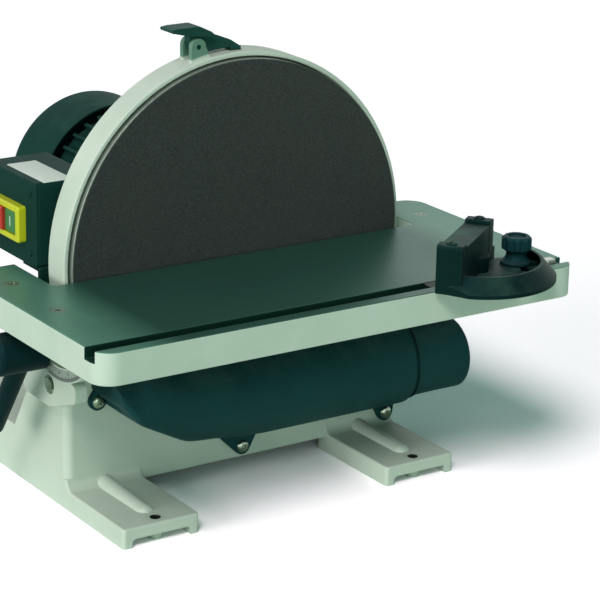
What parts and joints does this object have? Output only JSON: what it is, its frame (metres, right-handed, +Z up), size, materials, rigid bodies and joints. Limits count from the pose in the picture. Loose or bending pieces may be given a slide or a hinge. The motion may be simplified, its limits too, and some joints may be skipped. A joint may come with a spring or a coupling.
{
  "type": "disc sander",
  "caption": "Bench disc sander: abrasive disc in a guard on a cast base, tilting slotted table with mitre gauge, dust port, push-button switch and disc brake.",
  "frame": {"origin": "on the bench, at the centre of the four bolt holes in the feet", "axes": "+X to the operator's right along the table, +Y away from the operator along the disc's axis, +Z up"},
  "size_m": [0.444, 0.4673, 0.3773],
  "materials": {
    "pale_paint": "pale grey-green satin paint on castings",
    "ground_iron": "ground cast iron top, painted edges",
    "abrasive": "coarse grey-brown abrasive grit on cloth",
    "cast_aluminium": "machined casting",
    "black_plastic": "black moulded plastic",
    "black_paint": "black satin paint",
    "green_paint": "dark green satin paint",
    "steel": "plain and zinc plated steel",
    "scale_plate": "engraved scale",
    "laminations": "stacked sheet",
    "copper": "varnished copper wire",
    "yellow_plastic": "yellow moulded plastic",
    "green_plastic": "green moulded plastic",
    "red_plastic": "red moulded plastic",
    "brake_lining": "friction lining"
  },
  "bodies": {
    "base": {"base_casting": "pale_paint", "disc_housing": "pale_paint", "trunnion_bracket_left": "pale_paint", "trunnion_bracket_right": "pale_paint", "motor_flange": "cast_aluminium", "dust_cover": "black_plastic", "cable_gland": "black_plastic", "capacitor": "black_plastic", "switch_module": "black_plastic", "motor_frame": "green_paint", "motor_end_bell": "green_paint", "fan_cowl": "green_paint", "switch_box": "green_paint", "switch_plate": "green_paint", "switch_bracket": "green_paint", "housing_bolts": "steel", "motor_bolts": "steel", "cover_screws": "steel", "cowl_screws": "steel", "plate_screws": "steel", "small_screws": "steel", "trunnion_bolts": "steel", "lock_studs": "steel", "guide_pins": "steel", "lock_washers": "steel", "brake_pin": "steel", "front_bearing": "steel", "rear_bearing": "steel", "stator_core": "laminations", "stator_windings": "copper", "switch_bezel": "yellow_plastic"},
    "disc": {"disc_plate": "cast_aluminium", "abrasive_disc": "abrasive", "hub_screws": "steel", "motor_shaft": "steel", "rotor_core": "laminations", "cooling_fan": "black_plastic"},
    "table": {"table_top": "ground_iron", "table_screws": "steel", "trunnion_left": "pale_paint", "trunnion_right": "pale_paint", "tilt_scale": "scale_plate"},
    "lock_left": {"lock_lever_left": "black_plastic"},
    "lock_right": {"lock_lever_right": "black_plastic"},
    "mitre_bar": {"mitre_bar": "steel", "pivot_pin": "steel", "mitre_pointer": "steel"},
    "mitre_head": {"mitre_head": "black_paint", "fence_screws": "steel"},
    "mitre_knob": {"mitre_knob": "black_plastic", "knob_stud": "steel"},
    "brake_lever": {"brake_lever": "green_paint", "brake_shoe": "brake_lining"},
    "start_button": {"start_button": "green_plastic"},
    "stop_button": {"stop_button": "red_plastic"}
  },
  "joints": [
    {"name": "disc_spin", "type": "hinge", "parent": "base", "child": "disc", "pos_m": [0, -0.073, 0.1965], "axis": [0, 1, 0], "continuous": true},
    {"name": "table_tilt", "type": "hinge", "parent": "base", "child": "table", "pos_m": [0, -0.093, 0.1865], "axis": [1, 0, 0], "range_deg": [0, 45]},
    {"name": "left_lock_turn", "type": "hinge", "parent": "base", "child": "lock_left", "pos_m": [-0.18105, -0.07305, 0.14251], "axis": [1, 0, 0], "range_deg": [-35, 40]},
    {"name": "right_lock_turn", "type": "hinge", "parent": "base", "child": "lock_right", "pos_m": [0.18105, -0.07305, 0.14251], "axis": [1, 0, 0], "range_deg": [-15, 40]},
    {"name": "mitre_slide", "type": "slide", "parent": "table", "child": "mitre_bar", "axis": [1, 0, 0], "range_m": [-0.25, 0.01]},
    {"name": "mitre_swivel", "type": "hinge", "parent": "mitre_bar", "child": "mitre_head", "pos_m": [0.1287, -0.2163, 0.1914], "axis": [0, 0, 1], "range_deg": [-3, 110]},
    {"name": "clamp_knob_turn", "type": "hinge", "parent": "mitre_bar", "child": "mitre_knob", "pos_m": [0.167, -0.2163, 0.1954], "axis": [0, 0, 1], "range_deg": [-180, 180]},
    {"name": "brake_press", "type": "hinge", "parent": "base", "child": "brake_lever", "pos_m": [-0.036, -0.056, 0.361], "axis": [0, 1, 0], "range_deg": [0, 2.7], "stiffness_Nm_per_rad": 2},
    {"name": "start_press", "type": "slide", "parent": "base", "child": "start_button", "axis": [1, 0, 0], "range_m": [0, 0.003], "stiffness_N_per_m": 300},
    {"name": "stop_press", "type": "slide", "parent": "base", "child": "stop_button", "axis": [1, 0, 0], "range_m": [0, 0.003], "stiffness_N_per_m": 300}
  ]
}
